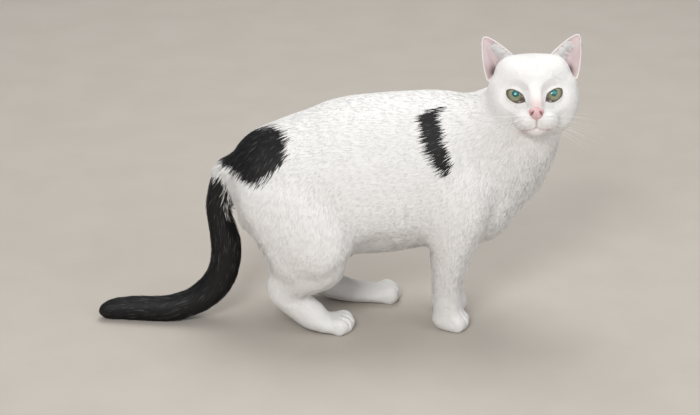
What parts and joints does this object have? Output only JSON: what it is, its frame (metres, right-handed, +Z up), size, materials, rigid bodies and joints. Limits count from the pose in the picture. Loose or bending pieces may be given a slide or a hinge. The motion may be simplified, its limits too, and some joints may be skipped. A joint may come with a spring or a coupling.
{
  "type": "domestic cat",
  "caption": "Life-size still model of a short-haired white and black cat, standing low on its hind legs, its head turned to the side and its tail trailing on the floor.",
  "frame": {"origin": "the middle of the whole cat's bounding box, on the floor that it stands on", "axes": "+X the way the body faces, +Z up, the cat's right side towards -Y, which is also the way its face looks"},
  "size_m": [0.5098, 0.1712, 0.3192],
  "materials": {
    "fur_white": "short white coat, matt with a soft sheen",
    "fur_black": "short black coat, soft sheen",
    "skin_pink": "fine-grained pink nose leather, slightly moist",
    "eye_green": "wet, glossy eye with a pale green iris"
  },
  "bodies": {
    "root": {"head": "fur_white", "ear_right": "fur_white", "ear_left": "fur_white", "eye_right": "eye_green", "eye_left": "eye_green", "nose": "skin_pink", "neck": "fur_white", "torso": "fur_white", "shoulder_right": "fur_white", "shoulder_left": "fur_white", "foreleg_right": "fur_white", "foreleg_left": "fur_white", "forepaw_right": "fur_white", "forepaw_left": "fur_white", "thigh_right": "fur_white", "thigh_left": "fur_white", "shank_right": "fur_white", "shank_left": "fur_white", "hind_foot_right": "fur_white", "hind_foot_left": "fur_white", "tail_root": "fur_black", "tail_middle": "fur_black", "tail_lower": "fur_black", "tail_tip": "fur_black"}
  },
  "joints": []
}
